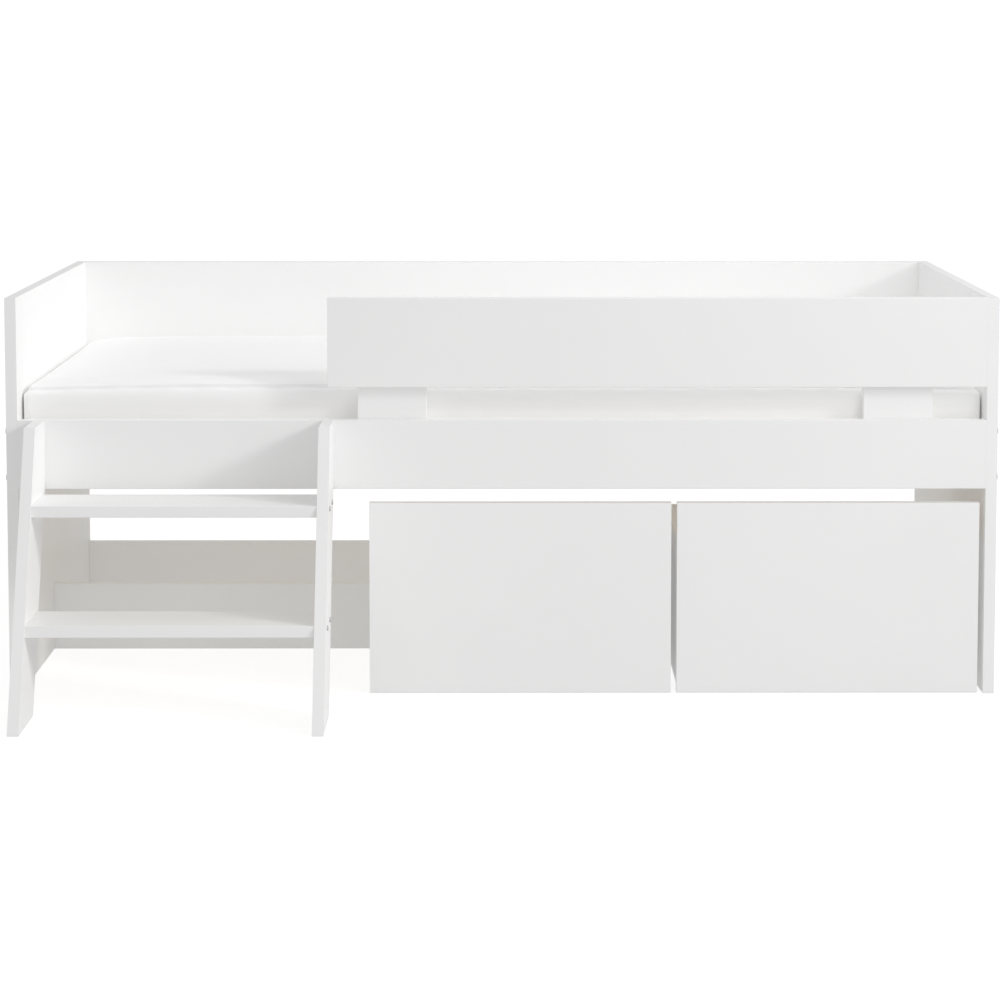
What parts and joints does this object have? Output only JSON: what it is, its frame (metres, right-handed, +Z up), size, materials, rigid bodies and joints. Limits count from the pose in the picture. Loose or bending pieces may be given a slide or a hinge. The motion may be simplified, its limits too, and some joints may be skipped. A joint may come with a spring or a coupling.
{
  "type": "cabin bed",
  "caption": "Low cabin bed with end panels, a guard rail, a leaning ladder, a slatted base with mattress, and storage boxes that roll out from below.",
  "frame": {"origin": "on the floor, in the middle of the bed's length and of its depth from the ladder's foot to the back", "axes": "+X along the bed to its right end, the one away from the ladder; +Y to the back, which goes against the wall; +Z up"},
  "size_m": [1.96, 1.33, 0.79],
  "materials": {
    "white_lacquered_board": "satin",
    "pine": "matte",
    "mattress_cover": "matte",
    "zinc_plated_steel": "satin",
    "nylon": "matte"
  },
  "bodies": {
    "bed_frame": {"end_panel_left": "white_lacquered_board", "end_panel_right": "white_lacquered_board", "lower_rail": "white_lacquered_board", "guard_rail": "white_lacquered_board", "guard_upright_left": "white_lacquered_board", "guard_upright_right": "white_lacquered_board", "back_panel": "white_lacquered_board", "middle_stretcher": "white_lacquered_board", "back_stretcher": "white_lacquered_board", "ladder_stile_left": "white_lacquered_board", "ladder_stile_right": "white_lacquered_board", "upper_tread": "white_lacquered_board", "lower_tread": "white_lacquered_board", "front_batten": "pine", "back_batten": "pine", "slat_1": "pine", "slat_2": "pine", "slat_3": "pine", "slat_4": "pine", "slat_5": "pine", "slat_6": "pine", "slat_7": "pine", "slat_8": "pine", "slat_9": "pine", "slat_10": "pine", "slat_11": "pine", "guard_dowels": "pine", "frame_bolts": "zinc_plated_steel", "barrel_nuts": "zinc_plated_steel", "wood_screws": "zinc_plated_steel", "tread_screws": "zinc_plated_steel", "ladder_screws": "zinc_plated_steel", "mattress": "mattress_cover"},
    "left_box": {"left_box_front": "white_lacquered_board", "left_box_side_left": "white_lacquered_board", "left_box_side_right": "white_lacquered_board", "left_box_back": "white_lacquered_board", "left_box_base": "white_lacquered_board", "left_box_dowels": "pine", "left_box_screws": "zinc_plated_steel", "left_box_castors": "zinc_plated_steel", "left_box_axles": "zinc_plated_steel"},
    "left_box_wheel_front_left": {"left_box_wheel_front_left": "nylon"},
    "left_box_wheel_front_right": {"left_box_wheel_front_right": "nylon"},
    "left_box_wheel_back_left": {"left_box_wheel_back_left": "nylon"},
    "left_box_wheel_back_right": {"left_box_wheel_back_right": "nylon"},
    "right_box": {"right_box_front": "white_lacquered_board", "right_box_side_left": "white_lacquered_board", "right_box_side_right": "white_lacquered_board", "right_box_back": "white_lacquered_board", "right_box_base": "white_lacquered_board", "right_box_dowels": "pine", "right_box_screws": "zinc_plated_steel", "right_box_castors": "zinc_plated_steel", "right_box_axles": "zinc_plated_steel"},
    "right_box_wheel_front_left": {"right_box_wheel_front_left": "nylon"},
    "right_box_wheel_front_right": {"right_box_wheel_front_right": "nylon"},
    "right_box_wheel_back_left": {"right_box_wheel_back_left": "nylon"},
    "right_box_wheel_back_right": {"right_box_wheel_back_right": "nylon"}
  },
  "joints": [
    {"name": "left_box_roll_out", "type": "slide", "parent": "bed_frame", "child": "left_box", "axis": [0, -1, 0], "range_m": [0, 0.45]},
    {"name": "left_box_wheel_front_left_spin", "type": "hinge", "parent": "left_box", "child": "left_box_wheel_front_left", "pos_m": [-0.201, -0.222, 0.017], "axis": [1, 0, 0], "continuous": true},
    {"name": "left_box_wheel_front_right_spin", "type": "hinge", "parent": "left_box", "child": "left_box_wheel_front_right", "pos_m": [0.273, -0.222, 0.017], "axis": [1, 0, 0], "continuous": true},
    {"name": "left_box_wheel_back_left_spin", "type": "hinge", "parent": "left_box", "child": "left_box_wheel_back_left", "pos_m": [-0.201, 0.0427, 0.017], "axis": [1, 0, 0], "continuous": true},
    {"name": "left_box_wheel_back_right_spin", "type": "hinge", "parent": "left_box", "child": "left_box_wheel_back_right", "pos_m": [0.273, 0.0427, 0.017], "axis": [1, 0, 0], "continuous": true},
    {"name": "right_box_roll_out", "type": "slide", "parent": "bed_frame", "child": "right_box", "axis": [0, -1, 0], "range_m": [0, 0.45]},
    {"name": "right_box_wheel_front_left_spin", "type": "hinge", "parent": "right_box", "child": "right_box_wheel_front_left", "pos_m": [0.4085, -0.222, 0.017], "axis": [1, 0, 0], "continuous": true},
    {"name": "right_box_wheel_front_right_spin", "type": "hinge", "parent": "right_box", "child": "right_box_wheel_front_right", "pos_m": [0.8825, -0.222, 0.017], "axis": [1, 0, 0], "continuous": true},
    {"name": "right_box_wheel_back_left_spin", "type": "hinge", "parent": "right_box", "child": "right_box_wheel_back_left", "pos_m": [0.4085, 0.0427, 0.017], "axis": [1, 0, 0], "continuous": true},
    {"name": "right_box_wheel_back_right_spin", "type": "hinge", "parent": "right_box", "child": "right_box_wheel_back_right", "pos_m": [0.8825, 0.0427, 0.017], "axis": [1, 0, 0], "continuous": true}
  ],
  "couplings": [
    {"joint": "left_box_wheel_front_left_spin", "follows": "left_box_roll_out", "rad_per_m": 58.824},
    {"joint": "left_box_wheel_front_right_spin", "follows": "left_box_roll_out", "rad_per_m": 58.824},
    {"joint": "left_box_wheel_back_left_spin", "follows": "left_box_roll_out", "rad_per_m": 58.824},
    {"joint": "left_box_wheel_back_right_spin", "follows": "left_box_roll_out", "rad_per_m": 58.824},
    {"joint": "right_box_wheel_front_left_spin", "follows": "right_box_roll_out", "rad_per_m": 58.824},
    {"joint": "right_box_wheel_front_right_spin", "follows": "right_box_roll_out", "rad_per_m": 58.824},
    {"joint": "right_box_wheel_back_left_spin", "follows": "right_box_roll_out", "rad_per_m": 58.824},
    {"joint": "right_box_wheel_back_right_spin", "follows": "right_box_roll_out", "rad_per_m": 58.824}
  ]
}
